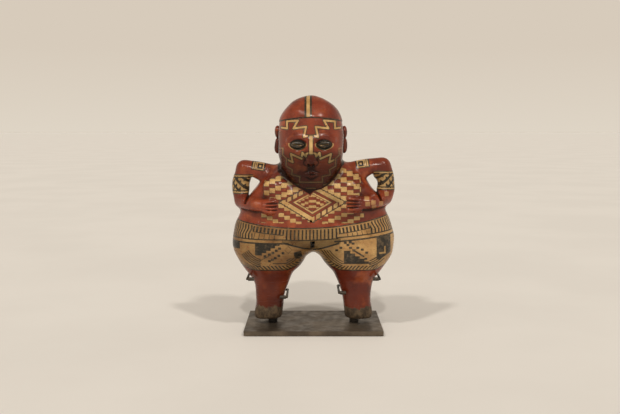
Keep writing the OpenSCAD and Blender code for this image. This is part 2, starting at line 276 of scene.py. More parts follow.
def make_nose():
    """A straight bridge, a rounded tip, two wings and two nostrils."""
    centre, half = middle("nose")
    top, base = centre[2] + half[2], centre[2] - half[2]
    bridge = [head_x, front_of(head_x, top - 4) + 1.6, top - 4]
    tip = [head_x, front_of(head_x, base + 7) + 0.3, base + 7]
    block = around(bridge, tip, margin=16)
    block.add(capsule(block, bridge, tip, 3.3, 5.6), 4.5)
    for side in (-1, 1):
        wing = [head_x + side * 5.4, tip[1] + 1.8, base + 4.6]
        block.add(ellipsoid(block, wing, [3.4, 3.6, 3.1]), 1.6)
        hole = [head_x + side * 3.2, tip[1] - 1.2, base + 1.2]
        block.carve(ellipsoid(block, hole, [1.3, 1.9, 2.2]), 0.8)


def make_brow(side):
    """A soft ridge over one eye."""
    centre, _ = middle("eye_left" if side > 0 else "eye_right")
    rise = centre[2] + 10.5
    path = []
    for across, drop in ((6.0, 2.6), (13.0, 0.0), (22.0, 0.6), (30.0, 4.0)):
        x = head_x + side * across
        path.append([x, front_of(x, rise - drop) + 1.6, rise - drop])
    block = around(*path, margin=12)
    distance = np.minimum.reduce([capsule(block, a, b, 2.2) for a, b in zip(path, path[1:])])
    block.add(distance, 4.5)


def make_lips():
    """Closed lips with a fine line between them."""
    centre, _ = middle("lips")
    z = centre[2]
    for side in (-1, 1):
        inner = [head_x, front_of(head_x, z) + 0.4, z]
        corner = [head_x + side * 11.5, front_of(head_x + side * 11.5, z) + 1.2, z + 0.6]
        block = around(inner, corner, margin=9)
        for rise, full in ((2.0, 2.3), (-2.2, 2.7)):
            a = [inner[0], inner[1], z + rise]
            block.add(capsule(block, a, corner, full, 1.0), 1.8)
    for side in (-1, 1):
        a = [head_x, front_of(head_x, z) - 0.1, z]
        b = [head_x + side * 11.0, front_of(head_x + side * 11.0, z) - 0.1, z + 0.5]
        block = around(a, b, margin=5)
        block.carve(capsule(block, a, b, 0.85, 0.55), 0.6)


def make_eye(node):
    """A shallow socket, an almond pellet and its slit."""
    centre, _ = middle(node)
    x, z = centre[0], centre[2]
    y = front_of(x, z)
    block = Block([x - 16, y - 8, z - 12], [x + 16, y + 12, z + 12])
    block.carve(ellipsoid(block, [x, y - 1.0, z], [11.5, 3.2, 7.4]), 3.0)
    away = np.abs(block.x - x) / 9.6
    lid = 4.9 * np.sqrt(np.maximum(1 - away ** 1.7, 0)) + 0.01
    depth = (block.y - (y + 0.018 * (block.x - x) ** 2 + 1.2)) / 3.1
    almond = (np.sqrt(((block.z - z) / lid) ** 2 + depth ** 2) - 1) * 2.6
    almond = np.maximum(almond, (away - 1) * 9.6)
    block.add(almond, 1.0)
    slit_y = front_of(x, z)
    a = [x - 6.3, slit_y + 0.9, z]
    b = [x + 6.3, slit_y + 0.9, z]
    block.carve(capsule(block, a, b, 0.9), 0.5)


def make_ear(node):
    """An upper and a lower pellet on the side of the head, each with a dish pressed into it."""
    centre, _ = middle(node)
    side = 1 if centre[0] > head_x else -1
    x = head_x + side * head_half
    upper = [x + side * 1.2, centre[1], centre[2] + 9.5]
    lower = [x + side * 0.9, centre[1] - 1.0, centre[2] - 9.5]
    block = around(upper, lower, margin=18)
    block.add(ellipsoid(block, upper, [4.4, 6.8, 8.8]), 2.2)
    block.add(ellipsoid(block, lower, [5.0, 6.8, 11.0]), 1.6)
    for lobe, size in ((upper, 1.0), (lower, 0.85)):
        dish = [lobe[0] + side * 4.6, lobe[1] - 2.6, lobe[2]]
        block.carve(ellipsoid(block, dish, [2.6, 3.9 * size, 6.2 * size]), 1.2)


FINGERS = 4
FINGER_PITCH = 4.7


def make_hand(node):
    """Four fingers laid side by side on the belly, their tips inward, with grooves pressed between them."""
    low, _ = boxes[node]
    side = 1 if low[0] > 0 else -1
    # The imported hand's own finger tips give its place
    own, _ = node_mesh(node)
    hand = own[own[:, 1] < low[1] + 9]
    tip_x = side * np.min(side * hand[:, 0])
    tips = hand[np.abs(hand[:, 0] - tip_x) < 8]
    middle_z = (tips[:, 2].min() + tips[:, 2].max()) / 2
    for i in range(FINGERS):
        rise = (i - (FINGERS - 1) / 2) * FINGER_PITCH
        shorter = 1.6 * abs(i - 1.8)
        path = []
        for reach, close, deep in ((2.0 + shorter, 1.0, 0.9), (9.0, 1.0, 0.2), (19.0, 0.8, 1.0)):
            px, pz = tip_x + side * reach, middle_z + rise * close
            path.append([px, front_of(px, pz) + deep, pz])
        block = around(*path, margin=7)
        tip, root = capsule(block, path[0], path[1], 2.1, 2.4), capsule(block, path[1], path[2], 2.4, 2.2)
        block.add(np.minimum(tip, root), 0.9)
    for i in range(FINGERS - 1):
        rise = (i + 1 - FINGERS / 2) * FINGER_PITCH
        ends = []
        for reach in (1.0, 15.0):
            px, pz = tip_x + side * reach, middle_z + rise * (1.0 if reach < 9 else 0.88)
            ends.append([px, front_of(px, pz) - 0.4, pz])
        block = around(*ends, margin=4)
        block.carve(capsule(block, ends[0], ends[1], 1.35, 0.8), 0.6)


TOE_GROOVES = 4
TOE_PITCH = 7.4
FOOT_X = 63.5                # from the middle of the figure to the middle of a foot


def make_foot(node):
    """Toes, parted by grooves pressed in at the front."""
    centre_x = FOOT_X if node == "leg_left" else -FOOT_X
    for i in range(TOE_GROOVES):
        x = centre_x + (i - (TOE_GROOVES - 1) / 2) * TOE_PITCH
        y = front_of(x, sole_z + 5)
        a, b = [x, y - 0.2, sole_z - 3], [x, y - 0.1, sole_z + 10]
        block = around(a, b, margin=4)
        block.carve(capsule(block, a, b, 1.3, 0.5), 1.2)


def make_arm_gap(corners):
    """The three-cornered opening between the arm and the side of the chest."""
    corners = [np.array(c, float) for c in corners]
    low, high = np.min(corners, axis=0), np.max(corners, axis=0)
    block = Block([low[0] - 6, LOW[1], low[1] - 6], [high[0] + 6, HIGH[1], high[1] + 6])
    best = None
    centre = sum(corners) / 3
    for a, b in zip(corners, corners[1:] + corners[:1]):
        across = np.array([b[1] - a[1], a[0] - b[0]]) / np.hypot(*(b - a))
        if across @ (centre - a) > 0:
            across = -across
        edge = (block.x - a[0]) * across[0] + (block.z - a[1]) * across[1]
        best = edge if best is None else -smooth_min(-best, -edge, 3.0)
    # The opening flares towards the front and the back
    flare = 0.0035 * (block.y + 4) ** 2
    block.carve(best - flare, 3.5)


def make_breast(side):
    """The low swelling of the chest beside the dark point."""
    x, z = head_x + side * 47, sole_z + 183
    y = front_of(x, z)
    block = Block([x - 30, y - 12, z - 26], [x + 30, y + 22, z + 26])
    block.add(ellipsoid(block, [x, y + 5.5, z], [17, 8.0, 13]), 7.0)


def make_forearm_crease(node):
    """The deep line where the forearm rests on the hip."""
    low, _ = boxes[node]
    side = 1 if low[0] > 0 else -1
    raised = low[2] - min(boxes["arm_right"][0][2], boxes["arm_left"][0][2])
    path = []
    for across, height in ((98, 154.0), (90, 152.0), (80, 150.5), (68, 150.5)):
        px, pz = side * across, sole_z + height + raised
        path.append([px, front_of(px, pz) - 0.3, pz])
    block = around(*path, margin=7)
    distance = np.minimum.reduce([capsule(block, a, b, 2.0) for a, b in zip(path, path[1:])])
    block.carve(distance, 2.2)


def make_vent():
    """The round firing vent at the navel."""
    centre = [head_x, boxes["torso"][0][1], waist_z + 3.5]
    y = front_of(centre[0], centre[2])
    block = around([centre[0], y - 6, centre[2]], [centre[0], y + 10, centre[2]], margin=8)
    block.carve(capsule(block, [centre[0], y - 6, centre[2]], [centre[0], y + 7, centre[2]], 2.1), 1.4)


def make_slot():
    """The upright slot between the thighs."""
    low_z, high_z = sole_z + 103, sole_z + 112
    y = front_of(2.5, (low_z + high_z) / 2)
    block = Block([-8, y - 8, low_z - 8], [8, y + 22, high_z + 8])
    reach = np.sqrt(np.maximum(np.abs(block.x) - 1.6, 0) ** 2
                    + np.maximum(np.abs(block.z - (low_z + high_z) / 2) - 4.3, 0) ** 2) - 0.5
    block.carve(np.maximum(reach, block.y - (y + 16)), 1.0)


make_cap()
for side in (-1, 1):
    make_brow(side)
    make_breast(side)
for node in ("eye_right", "eye_left"):
    make_eye(node)
make_nose()
make_lips()
for node in ("ear_right", "ear_left"):
    make_ear(node)
make_arm_gap([(-86.5, sole_z + 197.5), (-75.0, sole_z + 191.5), (-91.5, sole_z + 168.5)])
make_arm_gap([(73.5, sole_z + 195.5), (83.0, sole_z + 202.5), (90.0, sole_z + 172.5)])
for node in ("arm_right", "arm_left"):
    make_hand(node)
    make_forearm_crease(node)
for node in ("leg_right", "leg_left"):
    make_foot(node)
make_vent()
make_slot()

# The slight unevenness of hand-built walls
everywhere = Block(LOW, HIGH)
wave = [2 * math.pi / length for length in (57.0, 43.0, 71.0, 29.0)]
everywhere.shift((
    0.45 * np.sin(wave[0] * everywhere.x + 1.3) * np.sin(wave[1] * everywhere.z + 0.4)
    + 0.3 * np.sin(wave[2] * everywhere.y + 2.1) * np.sin(wave[3] * everywhere.z + 0.07 * everywhere.x)
).astype(np.float32))

# Flat soles
sole = Block(LOW, [HIGH[0], HIGH[1], sole_z + 6])
clay[sole.cut] = np.maximum(clay[sole.cut], np.broadcast_to(sole_z + 0.05 - sole.z, clay[sole.cut].shape))


# -------------------- from the field to pieces

def sample(values, step, points):
    """Trilinear value of a field at points in millimetres."""
    p = (points - LOW) / step
    base = np.clip(np.floor(p).astype(int), 0, np.array(values.shape) - 2)
    f = p - base
    i, j, k = base.T
    total = np.zeros(len(points))
    for a in (0, 1):
        wx = f[:, 0] if a else 1 - f[:, 0]
        for b in (0, 1):
            wy = f[:, 1] if b else 1 - f[:, 1]
            for c in (0, 1):
                wz = f[:, 2] if c else 1 - f[:, 2]
                total += wx * wy * wz * values[i + a, j + b, k + c]
    return total


def slope(values, step, points, reach=0.6):
    """Unit vectors along which the field rises."""
    g = np.empty((len(points), 3))
    for k in range(3):
        d = np.zeros(3)
        d[k] = reach
        g[:, k] = sample(values, step, points + d) - sample(values, step, points - d)
    return g / np.maximum(np.linalg.norm(g, axis=1), 1e-9)[:, None]


def renumbered(faces, count):
    """The points that faces use, out of so many, and the faces in the numbers of those points alone."""
    used = np.unique(faces)
    number = np.full(count, -1)
    number[used] = np.arange(len(used))
    return used, number[faces]


hollows = blurred(clay[::2, ::2, ::2], 2.4)
grooves = blurred(clay, 1.7)
points, quads = surface(clay, FINE)
quads = outer_part(points, quads)
used, quads = renumbered(quads, len(points))
points = points[used]
normals = slope(clay, FINE, points)
points = points - normals * np.clip(sample(clay, FINE, points), -0.4, 0.4)[:, None]
face_normal = np.cross(points[quads[:, 1]] - points[quads[:, 0]], points[quads[:, 3]] - points[quads[:, 0]])
if np.sum(face_normal * normals[quads[:, 0]]) < 0:
    quads = quads[:, ::-1].copy()

parts = CLAY + APPLIED
distances = np.stack([sample(node_distance[n], COARSE, points) for n in parts])
distances[parts.index("nose")] -= 0.5
# The slot straddles the joint between the legs, so that one leg takes all of it
in_slot = (np.abs(points[:, 0]) < 6) & (np.abs(points[:, 2] - sole_z - 107.5) < 7.5) & (points[:, 1] < 10)
distances[parts.index("leg_right"), in_slot] = -99
labels = np.argmin(distances, axis=0)
face_label = labels[quads[:, 0]]


def boundary_loops(faces):
    """The loops of edges that only one face uses."""
    edges = np.concatenate([faces[:, [0, 1]], faces[:, [1, 2]], faces[:, [2, 3]], faces[:, [3, 0]]])
    key = np.minimum(edges[:, 0], edges[:, 1]) * (edges.max() + 1) + np.maximum(edges[:, 0], edges[:, 1])
    _, index, count = np.unique(key, return_index=True, return_counts=True)
    after = {}
    for a, b in edges[index[count == 1]]:
        after.setdefault(int(a), []).append(int(b))
    loops = []
    while after:
        start = next(iter(after))
        loop = [start]
        while True:
            nexts = after[loop[-1]]
            follow = nexts.pop()
            if not nexts:
                del after[loop[-1]]
            if follow == start:
                break
            loop.append(follow)
        loops.append(loop)
    return loops


def make_piece(name, part_index, attributes):
    """One closed piece of the figure: its share of the surface, and a cone of faces over each joint."""
    used, local = renumbered(quads[face_label == part_index], len(points))
    verts = points[used]
    norms = normals[used]
    polygons = local.tolist()
    extra = []
    for loop in boundary_loops(local):
        ring = verts[loop]
        apex = ring.mean(0) - norms[loop].mean(0) * 2.0
        tip = len(verts) + len(extra)
        extra.append(apex)
        polygons += [[b, a, tip] for a, b in zip(loop, loop[1:] + loop[:1])]
    if extra:
        verts = np.concatenate([verts, extra])
    mesh = bpy.data.meshes.new(name)
    mesh.from_pydata((verts * MM).tolist(), [], polygons)
    mesh.polygons.foreach_set("use_smooth", np.ones(len(mesh.polygons), bool))
    for key, values in attributes.items():
        layer = mesh.attributes.new(key, "FLOAT", "POINT")
        data = np.zeros(len(verts), np.float32)
        data[:len(used)] = values[used]
        layer.data.foreach_set("value", data)
    vectors = np.concatenate([norms, np.tile([0.0, 0.0, 1.0], (len(extra), 1))]) if extra else norms
    mesh.normals_split_custom_set_from_vertices(vectors.tolist())
    piece = bpy.data.objects.new(name, mesh)
    bpy.context.scene.collection.objects.link(piece)
    return piece


# -------------------- slip paint, as signed distances at each point
# Motifs are drawn in millimetres, as the figure is seen from the front. Positive values are painted.

x, y, z = points.T
toward_front = -normals[:, 1]
face_x = np.abs(x - head_x)
on_torso, on_head, on_arm, on_leg = (
    np.isin(labels, [parts.index(n) for n in group])
    for group in (["torso"], ["head"] + APPLIED, ["arm_right", "arm_left"], ["leg_right", "leg_left"]))
AWAY = -9.0
cream = np.full(len(points), AWAY)
black = np.full(len(points), AWAY)
# Darkening, 0 to 1: painted shade in hollows, between the thighs and round the chin, and darker patches of
# the surface
dirt_and_shade = np.zeros(len(points))
faded = np.zeros(len(points))


def lay(paint, outline=0.0, where=None):
    """Cream slip with a dark outline of the given width round it."""
    global cream, black
    if where is not None:
        paint = np.where(where, paint, AWAY)
    if outline:
        black = np.maximum(black, paint + outline)
    black = np.minimum(black, -paint)
    cream = np.maximum(cream, paint)


def draw(paint, where=None):
    """Black slip over whatever is there."""
    global black
    if where is not None:
        paint = np.where(where, paint, AWAY)
    black = np.maximum(black, paint)


def darken(amount, where):
    """Darkens an area, from 0 for untouched to 1: used for painted shade and for darker patches of the
    surface.
    """
    global dirt_and_shade
    dirt_and_shade = np.maximum(dirt_and_shade, np.where(where, amount, 0))


def fade(amount, where):
    """Wears the cream slip of an area, from 0 for sound to 1."""
    global faded
    faded = np.maximum(faded, np.where(where, amount, 0))


def distance_to(u, v, path):
    best = np.full(len(u), 99.0)
    for (ax, ay), (bx, by) in zip(path, path[1:]):
        dx, dy = bx - ax, by - ay
        t = np.clip(((u - ax) * dx + (v - ay) * dy) / (dx * dx + dy * dy), 0, 1)
        best = np.minimum(best, np.hypot(u - ax - t * dx, v - ay - t * dy))
    return best


def line(u, v, path, width):
    """A stroke along a path."""
    return width / 2 - distance_to(u, v, path)


def rectangle(u, v, centre_u, centre_v, half_u, half_v):
    return np.minimum(half_u - np.abs(u - centre_u), half_v - np.abs(v - centre_v))


def polygon(u, v, corners):
    """Signed distance to a closed outline, positive inside."""
    closed = corners + corners[:1]
    inside = np.zeros(len(u), bool)
    for (ax, ay), (bx, by) in zip(closed, closed[1:]):
        if by != ay:
            inside ^= ((ay > v) != (by > v)) & (u < ax + (v - ay) / (by - ay) * (bx - ax))
    edge = distance_to(u, v, closed)
    return np.where(inside, edge, -edge)


def steps(start, count, run, rise):
    """Corners of a flight of stairs."""
    u, v = start
    path = [(u, v)]
    for _ in range(count):
        u += run
        path.append((u, v))
        v += rise
        path.append((u, v))
    return path


def bars(along, pitch, width):
    """Upright bars, repeated along a band."""
    return width / 2 - np.abs((along + pitch / 2) % pitch - pitch / 2)


# Cap: a cream stripe edged in black from the brow to the nape, a little off centre
stripe = np.abs(x - head_x + 3.8)
above_edge = z - cap_edge(x, y) - 0.3
black_edge = np.minimum(5.1 - stripe, above_edge)
draw(black_edge, on_head)
lay(np.minimum(2.3 - stripe, above_edge), where=on_head)
draw(0.8 - np.abs(z - cap_edge(x, y) + 0.4), on_head & (y < 12))

# Face: stepped frets, the same on both sides, in heights above the soles
FRET = 2.6
FRET_OUTLINE = 1.1
rise = z - sole_z
facing = on_head & (toward_front > -0.1) & (y < 4)
FRETS = [
    [(4.9, 255), (9.5, 253.5), (6.5, 267), (23.5, 265), (17.5, 275.5), (32.5, 274.5), (32.5, 265), (40, 266)],
    [(0, 233), (6.5, 231), (7, 227.5), (11.5, 232.5), (12.5, 226.5)],
    [(12.5, 224.5), (27, 230.5), (24.5, 219.5), (32, 223)],
]
LOW_FRETS = [
    [(44, 238), (38, 238), (38.5, 229), (33, 224), (33.5, 214), (25, 209.5), (26, 202.5), (15, 200.5),
     (15.5, 193), (0, 193)],
    [(17, 189), (22, 190)], [(0, 184.5), (6, 184.5)],
]
for path in FRETS:
    lay(line(face_x, rise, path, FRET), FRET_OUTLINE, facing)
lay(rectangle(face_x, rise, 0, 243, 2.4, 12.5), FRET_OUTLINE, facing)
low_fret = np.full(len(points), AWAY)
for path in LOW_FRETS:
    low_fret = np.maximum(low_fret, line(face_x, rise, path, 1.9))
lay(low_fret, 0.7, facing | (on_torso & (y < 0)))
fade(0.55, (low_fret > -1.5) & (on_head | on_torso))

# Eyes: black all round, with thin cream lines below and along the slit
for node in ("eye_right", "eye_left"):
    centre, _ = middle(node)
    across, up = (x - centre[0]) / 11.2, (z - centre[2]) / 6.9
    ring = (1 - (np.abs(across) ** 1.6 + np.abs(up) ** 2) ** 0.55) * 8
    near = on_head & (y < 0)
    cream = np.where(near & (ring > -2.5), np.minimum(cream, -ring - 0.2), cream)
    draw(ring, near)
    lay(np.minimum(0.55 - np.abs(ring + 0.3), 2.0 - (z - centre[2])), where=near)
    slit = np.abs(z - centre[2] - 0.12 * np.abs(x - head_x) + 2.4)
    lay(np.minimum(0.55 - slit, 5.5 - np.abs(x - centre[0])), where=near)

# Dark ground of the lower face, running down to a point on the chest: dark slip and painted shade under the
# chin, laid on together
v_edge = sole_z + np.where(x > head_x, 177.5 + 0.84 * face_x, 175.0 + 0.66 * face_x)
point_of_v = np.minimum(z - v_edge, 46 - face_x)
dark_v = on_torso & (y < 5) & (face_x < 46)
# The V on the chest: dark slip together with the head's painted shadow
darken(0.88 * smoothstep(-0.6, 0.6, point_of_v), dark_v)
# The lower face darkened towards the chin and towards the sides: dark slip together with painted shade
darken(0.72 * smoothstep(244, 226, rise) + 0.14 * smoothstep(222, 205, rise), on_head & (rise < 268))
darken(0.5 * smoothstep(34, 43, face_x), on_head & (rise < 262))

# Chest: sheared checks round a stepped lozenge
CHECK = {
    -1: dict(pitch=7.9, start=46.3, rise=197.0, shear=3.4),
    1: dict(pitch=8.7, start=42.4, rise=195.3, shear=4.4),
}
CHECK_PERIOD = 12.4
LOZENGE_X, LOZENGE_Z = -1.5, sole_z + 165.5
half_u, half_v = 44.5, np.where(z > LOZENGE_Z, 23.5, 27.0)
u = np.abs(x - LOZENGE_X)


def checks(u, v, pitch, start, rise, shear, period=CHECK_PERIOD, share=0.54):
    """Columns of squares, each column lower than the last by the shear."""
    column = np.round((u - start) / pitch)
    off_u = np.abs(u - start - column * pitch)
    off_v = v - rise + shear * column
    off_v = np.abs((off_v + period / 2) % period - period / 2)
    return np.minimum(pitch / 2 - 0.15 - off_u, share * period / 2 - off_v)


stepped_u = np.round(u / 3.9) * 3.9
in_lozenge = (1 - u / half_u - np.abs(z - LOZENGE_Z) / half_v) * 21
in_steps = (1 - stepped_u / half_u - np.abs(z - LOZENGE_Z) / half_v) * 21
on_chest = (on_torso | (on_arm & (y < -25))) & (toward_front > 0.1)
below_v = v_edge - z - 1.2
for side, numbers in CHECK.items():
    here = on_chest & ((x > LOZENGE_X) == (side > 0))
    top = sole_z + 200.5 - 0.36 * (u - 46) + (9 if side > 0 else 0)
    upper = np.minimum.reduce([66 - u, below_v, top - z, -in_lozenge - 0.8])
    numbers = dict(numbers, rise=numbers["rise"] + sole_z)
    paint = checks(u, z, **numbers)
    lay(np.minimum(paint, upper), 0.7, here & (z > LOZENGE_Z - 4) & on_torso)
    low = checks(u, z, numbers["pitch"], 34.3, sole_z + 156.5, -3.8, share=0.44)
    lower = np.minimum.reduce([(70 - u), z - sole_z - 133.5, -in_lozenge - 0.8, LOZENGE_Z - 3 - z])
    lay(np.minimum(low, lower), 0.6, here & on_torso)

lozenge_here = on_chest & on_torso & (below_v > 0)
solid_edge = (x - LOZENGE_X) * (z - LOZENGE_Z) > 0
edge_band = np.minimum(in_steps, 5.2 - in_lozenge)
broken = np.minimum(edge_band, 2.8 - np.abs((u + 3.9) % 7.8 - 3.9))
lay(np.where(solid_edge, edge_band, broken), 0.7, lozenge_here & (in_lozenge > -3))
lay(0.95 - np.abs(in_lozenge - 9.6), 0.6, lozenge_here)
inner = checks(u, z, 5.2, 2.6, LOZENGE_Z + 1.5, 2.3, period=7.4, share=0.46)
lay(np.minimum(inner, in_lozenge - 11.2), 0.4, lozenge_here & (in_lozenge > 10))
draw(0.5 - np.abs(in_lozenge + 0.4), lozenge_here)

# Patches that strayed onto the left forearm
for cu, cz in ((72, 170), (73, 163), (81, 165), (82, 158), (92, 163), (101, 175)):
    patch = rectangle(x, z - sole_z, cu, cz, 3.2, 3.0)
    lay(patch, 0.0, on_arm & (toward_front > 0.2))
    fade(0.5, (patch > -1) & on_arm)

# Shoulder emblems: a square within a square between upright bars
for side, cx, cz, tilt in ((-1, -76.3, 213.0, -0.14), (1, 68.0, 216.4, 0.14)):
    a = ((x - cx) * math.cos(tilt) + (z - sole_z - cz) * math.sin(tilt)) * -side
    b = (z - sole_z - cz) * math.cos(tilt) - (x - cx) * math.sin(tilt)
    here = (on_arm | on_torso) & (toward_front > -0.1) & (np.abs(x) > 50)
    draw(rectangle(a, b, 0, 0, 9.6, 6.2), here)
    paint = rectangle(a, b, -6.9, 0, 0.9, 5.0)
    paint = np.maximum(paint, rectangle(a, b, -4.2, 0, 0.8, 5.0))
    square = rectangle(a, b, 2.4, 0, 5.2, 5.0)
    paint = np.maximum(paint, np.minimum(square, 1.5 - square))
    paint = np.maximum(paint, rectangle(a, b, 2.4, 0, 1.5, 1.3))
    lay(paint, where=here)

# Upper-arm bands
for side, low, high in ((-1, 175.8, 200.0), (1, 181.0, 205.0)):
    here = on_arm & (np.sign(x) == side) & (np.abs(x) > 83)
    band = np.minimum(z - sole_z - low, sole_z + high - z)
    a = side * (x - side * 100) + 0.55 * y
    lay(band, 1.4, here)
    zig = np.abs((z - sole_z - low + 0.8 * a) % 9.6 - 4.8) - 2.4
    zag = np.abs((z - sole_z - low - 0.9 * a + 3) % 11.0 - 5.5) - 2.6
    cells = np.minimum(zig, 0.9 - np.abs((a + 30) % 5.2 - 2.6) + 0.4)
    draw(np.minimum(np.maximum(cells, zag - 0.6), band - 1.6), here)
    draw(0.7 - np.abs(band - 3.0), here)

# Hips: a belt of bars that rises to the sides, in two rows, over a cream line
# Length along the belt, measured round the hips from the front
WIDE, DEEP = boxes["leg_left"][1][0] + 1, 48.0
turn = np.arctan2(x / WIDE, -(y - 2) / DEEP)
angles = np.linspace(-math.pi, math.pi, 721)
pace = np.hypot(WIDE * np.cos(angles), DEEP * np.sin(angles)) * (angles[1] - angles[0])
walked = np.cumsum(pace) - pace[0]
along = np.interp(turn, angles, walked - walked[len(angles) // 2])
reach = np.abs(x + 3)
belt_top = sole_z + 129.3 + 0.0011 * reach ** 2 + 0.03 * x
belt_low = sole_z + 113.3 + 0.045 * x + 0.0004 * reach ** 2
thigh_low = sole_z + 71.5 + 0.42 * np.maximum(np.abs(np.abs(x) - 60) - 24, 0)
on_thigh = on_leg | on_torso
row = belt_top - z                # how far below the belt's top
lay(np.minimum(row, z - thigh_low), 1.6, on_thigh)
ochre = np.where(on_thigh & (row > -2), np.where(x < 0, 1.0, 0.62), 0)

middle_part, hip_end = 37.0, 80.0
centre_bars = np.minimum(bars(along, 5.1, 2.1), np.minimum(row - 1.2, 14.6 - row))
draw(centre_bars, on_thigh & (reach < middle_part))
draw(0.7 - np.abs(row - 15.4), on_thigh & (reach < middle_part))
hip_bars = np.minimum(bars(along, 5.0, 2.7), np.minimum(row - 1.5, 9.0 - row))
draw(hip_bars, on_thigh & (reach >= middle_part) & (reach < hip_end))
draw(0.6 - np.abs(row - 9.2), on_thigh & (reach >= middle_part) & (reach < hip_end))
wobble = 2.3 * np.abs((z / 7.5) % 2 - 1)
wavy = np.minimum(bars(along + wobble, 5.2, 2.5), np.minimum(row - 1.0, z - belt_low - 2.5))
draw(wavy, on_thigh & (reach >= hip_end))
thin_bars = np.minimum(bars(along, 6.4, 0.9), np.minimum(row - 10.5, z - belt_low - 2.5))
draw(thin_bars, on_thigh & (reach >= 48) & (reach < hip_end))
draw(0.8 - np.abs(z - belt_low - 2.2), on_thigh & (reach > middle_part - 4))
draw(1.1 - np.abs(z - belt_low + 3.0), on_thigh & (reach > middle_part - 6))

# Between the thighs: dark lines running to the slot, painted shade between the thighs, and a black patch
# painted as the shade in the slot
up = z - sole_z
crotch = np.minimum.reduce([belt_low - z + 2, 42 - reach, up - 100.5 - 0.25 * np.maximum(reach - 5, 0)])
for path in ([(-40, 109.5), (-13, 102.0), (-3, 100.5)], [(34, 109.5), (7, 101.0), (0, 100.0)]):
    draw(line(x, up, path, 2.4), on_thigh & (y < 0))
# Painted shade between the thighs: darkest in the crotch, and fading out from the middle below the belt
darken(0.72 * smoothstep(-1.0, 1.5, crotch), on_thigh & (reach < 40) & (y < 10))
darken(0.46 * smoothstep(44, 34, reach), on_thigh & (row > 0))
# A black patch over the slot, painted shade inside it
draw(rectangle(x, up, -1.6, 107.3, 2.9, 5.0), on_thigh & (y < 0))

# Thighs. The right one: a stepped corner and two rows of dots; the left one: a stepped hill and a dark panel
right_leg, left_leg = on_thigh & (x < -2), on_thigh & (x > 2)


def arcs(centre, squash, radius, pitch, count, half_width, side_limit, top, drop, where):
    """Thin lines round a centre, each longer than the last and ending below a falling top."""
    for k in range(count):
        ring = np.hypot((x - centre[0]) / squash, up - centre[1]) - radius - pitch * k
        draw(np.minimum.reduce([half_width - np.abs(ring), side_limit, top - drop * k - up]), where)


corner = steps((-76.0, 92.5), 5, 6.0, 3.4)
draw(polygon(x, up, [(-79.5, 92.5), (-79.5, 109.5), (-46.0, 109.5)] + corner[::-1][:-1]), right_leg)
for cu, cz in ((-46, 102.5), (-50.5, 99.5), (-55, 96.5), (-60, 94), (-66, 91.5),
               (-41.5, 96), (-47, 92.4), (-52, 89), (-56, 86.5), (-60, 84.5)):
    draw(rectangle(x, up, cu, cz, 1.9, 1.7), right_leg)
draw(line(x, up, [(-73, 85), (-61, 91.5)], 1.1), right_leg)
draw(line(x, up, [(-55, 80.8), (-37, 80.8)], 1.3), right_leg)
draw(polygon(x, up, [(-27, 96.5), (-17, 98.5), (-15, 89.5), (-20, 86), (-26, 88)]), right_leg)
eye = np.abs(x + 34.3) + np.abs(up - 100.4)
draw(0.45 - np.abs(eye - 5.0), right_leg)
arcs((-62, 116), 1.05, 31.0, 2.6, 5, 0.75, -72 - x, 99, 1.5, right_leg)
arcs((-46, 108), 1.0, 25.0, 2.8, 3, 0.7, x + 37, 88, 0, right_leg)
draw(np.minimum.reduce([-101 - x, up - 100, belt_low - 4 - z]), right_leg)

hill = steps((43.5, 99.5), 5, 6.4, -3.8)
draw(polygon(x, up, [(41.3, 80.4), (41.3, 99.5)] + hill[:-1] + [(75.5, 80.4)]), left_leg)
for cu, cz in ((49.8, 111), (53.5, 109.3), (43, 110.2), (46.5, 107.5), (37, 103.5), (31.5, 100), (50, 103.5),
               (54.5, 100), (60, 103.5), (66, 100.9), (72, 96.6), (71, 88)):
    draw(rectangle(x, up, cu, cz, 2.0, 1.5), left_leg)
draw(line(x, up, [(56.6, 98.5), (68, 91.5)], 2.2), left_leg)
panel = np.minimum.reduce([x - 86, 106.5 - x, belt_low - 4 - z, up - 86 - 0.55 * np.maximum(x - 90, 0)])
mark = np.maximum(rectangle(x, up, 94, 95, 4.5, 1.2), rectangle(x, up, 98, 99, 1.2, 5))
draw(np.minimum(panel, -mark), left_leg)
arcs((62, 118), 1.15, 39.5, 2.8, 4, 0.6, 40 - x, 100, 0, left_leg)
arcs((64, 116), 1.1, 33.0, 2.8, 4, 0.75, x - 76, 92, 1.5, left_leg)
draw(line(x, up, [(38, 80.6), (78, 80.9)], 1.0), left_leg)
hem = np.minimum(bars(along, 3.9, 1.9), np.minimum(z - thigh_low - 0.4, thigh_low + 6.0 - z))
draw(hem, on_thigh & (reach > 14) & (reach < 92))

# Darker shins with a painted sheen on the left one, bare worn feet, and painted shade in the hollows
shin = on_leg & (z < thigh_low)
# Shins darkened, more towards the feet; the left shin is darkened less, as a painted sheen
darken(0.42 + 0.3 * smoothstep(60, 14, up) - 0.22 * (x > 0), shin)
# The right thigh is darkened more than the left
darken(0.04 + 0.34 * (x < 0), on_thigh & (z > thigh_low) & (z < belt_top))
# The outer upper arms darkened towards the top
darken(0.30 * smoothstep(168, 180, up), on_arm & (np.abs(x) > 88))
# A dark patch on the left of the belly, under the forearm
belly_patch = np.hypot((x - 47) / 32, (up - 143) / 15)
darken(0.5 * smoothstep(1.0, 0.25, belly_patch), on_torso & (y < 10))
bare = np.where(on_leg, smoothstep(26, 8, up), 0)
# On the smooth surface the blurred field is negative in hollows and positive on ridges
hollow = sample(hollows, COARSE, points)
groove = sample(grooves, FINE, points)
